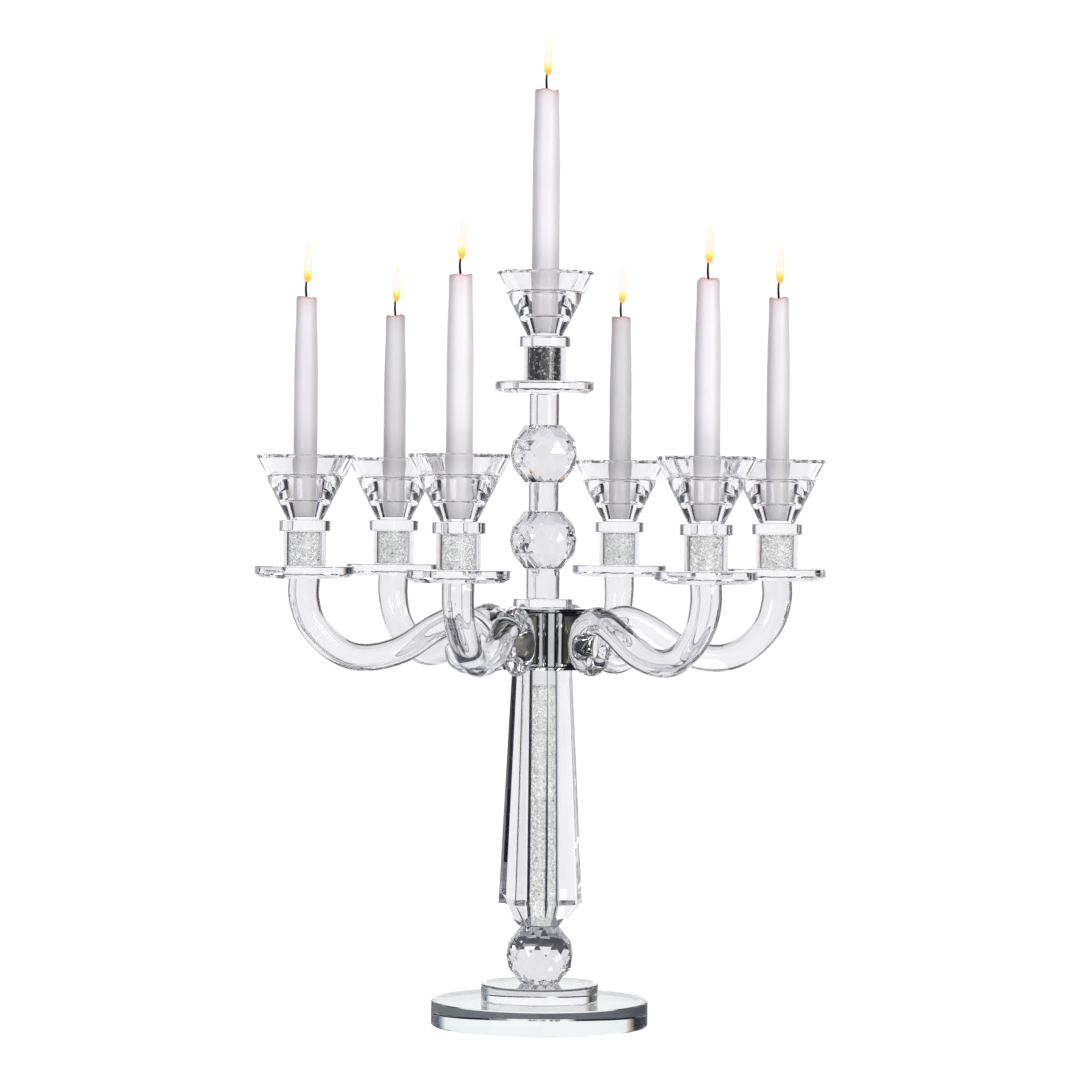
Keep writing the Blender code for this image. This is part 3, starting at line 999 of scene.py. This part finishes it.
# Colours round the studio at eye level and lower down, by degrees from the middle of the backdrop.
LEVEL_COLOURS = (
    (-180, (0.10, 0.10, 0.11)),
    (-165, (0.16, 0.16, 0.18)),
    (-150, (0.16, 0.16, 0.18)),
    (-140, NAVY),
    (-116, NAVY),
    (-112, (0.30, 0.30, 0.32)),
    (-103, (0.30, 0.30, 0.32)),
    (-99, NAVY),
    (-52, NAVY),
    (-46, (0.60, 0.48, 0.38)),
    (-42, WHITE),
    (50, WHITE),
    (55, (0.38, 0.50, 0.62)),
    (61, GREY),
    (90, GREY),
    (105, NAVY),
    (135, NAVY),
    (151, PALE),
    (167, PALE),
)
LOW_COLOURS = (
    (-180, PALE),
    (-98, PALE),
    (-90, GREY),
    (-60, GREY),
    (-50, WHITE),
    (52, WHITE),
    (60, GREY),
    (86, GREY),
    (96, PALE),
)


def share_between(tree, source, low, high):
    """The source's place between the two limits, from 0 to 1."""
    node = add_node(tree, "ShaderNodeMapRange", From_Min=low, From_Max=high)
    tree.links.new(source, node.inputs["Value"])
    return node.outputs["Result"]


def ray_direction(tree):
    """How far a ray turns from the view, and how far it rises, each as a share of its whole range."""
    place = add_node(tree, "ShaderNodeTexCoord")
    turn = add_node(tree, "ShaderNodeVectorRotate", rotation_type="Z_AXIS")
    set_inputs(turn, Angle=math.radians(360.0 - CAMERA_AZIMUTH))
    tree.links.new(place.outputs["Generated"], turn.inputs["Vector"])
    split = add_node(tree, "ShaderNodeSeparateXYZ")
    tree.links.new(turn.outputs["Vector"], split.inputs["Vector"])
    angle = add_node(tree, "ShaderNodeMath", operation="ARCTAN2")
    tree.links.new(split.outputs["X"], angle.inputs[0])
    tree.links.new(split.outputs["Y"], angle.inputs[1])
    return (
        share_between(tree, angle.outputs[0], -math.pi, math.pi),
        share_between(tree, split.outputs["Z"], -1.0, 1.0),
    )


def sweep(tree, turn, stops):
    """Colours round the studio, with (degrees from the middle of the backdrop, colour) stops."""
    return ramp(tree, turn, [((degrees + 180.0) / 360.0, colour) for degrees, colour in stops])


def climb(tree, rise, stops):
    """Colours up the studio, with (rise, colour) stops from -1 straight down to 1 straight up."""
    return ramp(tree, rise, [((z + 1.0) / 2.0, colour) for z, colour in stops])


def card_share(tree, turn, rise):
    """1 where a dark card stands behind the camera's left, a little below eye level, and 0 elsewhere."""
    across = sweep(tree, turn, ((-168, BLACK), (-163, WHITE), (-138, WHITE), (-132, BLACK)))
    upright = climb(tree, rise, ((-0.46, BLACK), (-0.44, WHITE), (-0.24, WHITE), (-0.20, BLACK)))
    both = add_node(tree, "ShaderNodeMath", operation="MULTIPLY")
    tree.links.new(across, both.inputs[0])
    tree.links.new(upright, both.inputs[1])
    return both.outputs["Value"]


def world_studio():
    """A bright field: a white backdrop, dark flags beside and above it, and pale all round lower down."""
    world = bpy.data.worlds.new("studio")
    bpy.context.scene.world = world
    world.use_nodes = True
    tree = world.node_tree
    turn, rise = ray_direction(tree)
    downward = climb(tree, rise, ((-0.30, WHITE), (-0.20, BLACK)))
    around = mix_colours(tree, downward, sweep(tree, turn, LEVEL_COLOURS), sweep(tree, turn, LOW_COLOURS))
    deep = climb(tree, rise, ((-0.50, WHITE), (-0.42, BLACK)))
    lower = mix_colours(tree, deep, around, PALE)
    carded = mix_colours(tree, card_share(tree, turn, rise), lower, NAVY)
    ends = climb(tree, rise, ((-0.82, WHITE), (-0.74, BLACK), (0.60, BLACK), (0.70, WHITE)))
    closing = climb(tree, rise, ((0.93, NAVY), (0.96, WHITE)))
    closed = mix_colours(tree, ends, carded, closing)
    seen = add_node(tree, "ShaderNodeLightPath")
    colour = mix_colours(tree, seen.outputs["Is Camera Ray"], closed, WHITE)
    background = tree.nodes["Background"]
    tree.links.new(colour, background.inputs["Color"])
    set_inputs(background, Strength=BACKDROP_STRENGTH)


def add_floor():
    """The tabletop, a hair below the foot."""
    half, gap = 0.28, 0.5 * MM
    vertices = [(-half, -half, 0.0), (half, -half, 0.0), (half, half, 0.0), (-half, half, 0.0)]
    obj = mesh_object("tabletop", vertices, [[0, 1, 2, 3]], floor_material())
    obj.location.z = -gap


def add_light(name, location, power, colour):
    """A soft area light aimed at the middle of the stand."""
    data = bpy.data.lights.new(name, "AREA")
    data.size = LIGHT_SIZE
    data.energy = power
    data.color = colour
    obj = bpy.data.objects.new(name, data)
    obj.location = location
    aim = LIGHT_TARGET - Vector(location)
    obj.rotation_euler = aim.to_track_quat("-Z", "Y").to_euler()
    bpy.context.scene.collection.objects.link(obj)


def add_camera():
    """The camera, level and rolled a hair, at the object's seen angle."""
    azimuth = math.radians(CAMERA_AZIMUTH)
    forward = Vector((-math.sin(azimuth), math.cos(azimuth), 0.0))
    data = bpy.data.cameras.new("camera")
    data.lens = CAMERA_LENS
    data.sensor_width = CAMERA_SENSOR
    data.shift_x = CAMERA_SHIFT_X
    data.shift_y = CAMERA_SHIFT_Y
    data.clip_end = 50.0
    camera = bpy.data.objects.new("camera", data)
    camera.location = -CAMERA_DISTANCE * forward + Vector((0.0, 0.0, CAMERA_HEIGHT))
    level = forward.to_track_quat("-Z", "Y").to_matrix().to_4x4()
    camera.rotation_euler = (level @ Matrix.Rotation(CAMERA_ROLL, 4, "Z")).to_euler()
    bpy.context.scene.collection.objects.link(camera)
    bpy.context.scene.camera = camera


def set_render():
    """Light paths, denoising and colour."""
    scene = bpy.context.scene
    scene.cycles.max_bounces = 40
    scene.cycles.transmission_bounces = 40
    scene.cycles.glossy_bounces = 24
    scene.cycles.diffuse_bounces = 4
    scene.cycles.transparent_max_bounces = 40
    scene.cycles.sample_clamp_indirect = 4.0
    scene.cycles.caustics_refractive = False
    scene.cycles.caustics_refractive = False
    scene.cycles.blur_glossy = 0.0
    scene.cycles.use_denoising = True
    scene.view_settings.view_transform = "Standard"


# ---------------------------------------------------------------- the model


def add_stack(crystal, ball_glass, foot_glass, rod, column_chips):
    """The middle stack: foot, balls, column, hub and rods."""
    add_disc("foot_disc", "base_disc", foot_glass, 0.8 * MM)
    add_disc("foot_step", "base_step", crystal, 0.5 * MM)
    add_disc("collar", "collar_plate", crystal, 0.4 * MM)
    for name in ("lower", "middle", "upper"):
        add_disc(f"rod_{name}", f"stem_{name}", rod, 0.4 * MM)
    for node in ("base_ball", "ball_lower", "ball_upper"):
        use_material(node, ball_glass)
        polish_edges(node, 0.15 * MM)
    add_hub(chrome_material(), pad_material(), shadow_gap_material())
    add_column(crystal)
    add_chips("column_crystal", "column_chips", 5200, 7, column_chips)


def main():
    """Builds everything that the picture shows."""
    crystal = glass_material("cut_crystal_look", (0.93, 0.925, 0.94), (0.89, 0.885, 0.91), 1.54, 30.0, 0.02)
    cup_glass = glass_material(
        "cup_crystal_look", (0.985, 0.98, 0.99), (0.96, 0.955, 0.97), 1.54, 40.0, 0.03
    )
    ball_glass = glass_material(
        "ball_crystal_look", (0.82, 0.81, 0.835), (0.77, 0.76, 0.79), 1.56, 30.0, 0.02
    )
    foot_glass = glass_material(
        "foot_glass_look", (0.90, 0.93, 0.935), (0.87, 0.91, 0.915), 1.52, 30.0, 0.02
    )
    rod = glass_material("rod_glass_look", (0.86, 0.855, 0.875), (0.82, 0.815, 0.84), 1.51, 55.0, 0.15)
    chips = chips_material("crushed_crystal_look", 0.95, 0.32, 1.0)
    # Painted shade: a darker copy of the crushed crystal, with bright painted glints, for the centre tube.
    shaded_chips = chips_material("shaded_crystal_look", 0.13, 0.20, 0.9)
    column_chips = chips_material("column_crystal_look", 0.92, 0.31, 1.0)
    wax, char, fire = wax_material(), wick_material(), flame_material()

    add_stack(crystal, ball_glass, foot_glass, rod, column_chips)
    for index, suffix in enumerate(SUFFIXES):
        add_pan(suffix, crystal)
        add_tube(suffix, rod)
        # The centre tube's chips take the darker copy, a painted shade.
        look = shaded_chips if suffix == "centre" else chips
        add_chips(f"tube_crystal_{suffix}", f"chips_{suffix}", 1100, 20 + index, look)
        add_disc(f"plate_{suffix}", f"cup_plate_{suffix}", crystal, 0.4 * MM)
        add_cup(suffix, cup_glass)
        add_candle(suffix, wax, char, fire, 40 + index)
    for number in range(1, 7):
        add_arm(number, rod)
    world_studio()
    add_light("key", (-2.2, -2.6, 1.5), 47.0, (0.97, 0.95, 1.00))
    add_light("fill", (1.7, -2.9, 1.3), 48.0, (1.00, 0.99, 0.95))
    add_floor()
    add_camera()
    set_render()


main()
